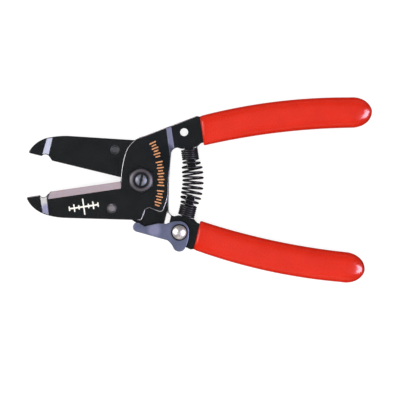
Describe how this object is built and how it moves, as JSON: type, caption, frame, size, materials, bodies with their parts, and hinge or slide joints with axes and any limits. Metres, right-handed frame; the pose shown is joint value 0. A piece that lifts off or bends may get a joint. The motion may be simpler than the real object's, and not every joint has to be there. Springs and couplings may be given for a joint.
{
  "type": "wire stripper and cutter plier",
  "caption": "Small wire stripper and cutter plier: two crossed black stamped steel halves on a slotted pivot screw, a coil spring, a riveted lock lever and red vinyl grips.",
  "frame": {"origin": "on the pivot axis, in the plane the tool lies on: the outer face of the pivot screw's head", "axes": "+Z along the pivot axis from the screw's head to the nut, +X from the pivot towards the handles along the line the cutting edges share when shut, +Y towards the upper handle"},
  "size_m": [0.1565, 0.0852, 0.01],
  "materials": {
    "black_steel": "black oxide, semi-gloss",
    "red_vinyl": "smooth dipped vinyl",
    "spring_steel": "black oiled wire",
    "lever_steel": "blue grey, satin",
    "rivet_steel": "bright",
    "dark_hardware": "dark, satin"
  },
  "bodies": {
    "front": {"front_half": "black_steel", "upper_grip": "red_vinyl", "pivot_screw": "dark_hardware", "pivot_nut": "dark_hardware"},
    "back": {"back_half": "black_steel", "lower_grip": "red_vinyl", "lever_washer": "dark_hardware", "lever_rivet": "rivet_steel", "return_spring": "spring_steel"},
    "lever": {"lock_lever": "lever_steel"}
  },
  "joints": [
    {"name": "jaw_pivot", "type": "hinge", "parent": "front", "child": "back", "pos_m": [0, 0, 0.005], "axis": [0, 0, 1], "range_deg": [0, 21.6], "stiffness_Nm_per_rad": 0.67, "springref_deg": -4.3, "deforming": ["return_spring"]},
    {"name": "lever_pivot", "type": "hinge", "parent": "back", "child": "lever", "pos_m": [0.01856, -0.02305, 0.007], "axis": [0, 0, 1], "range_deg": [-3, 45]}
  ]
}
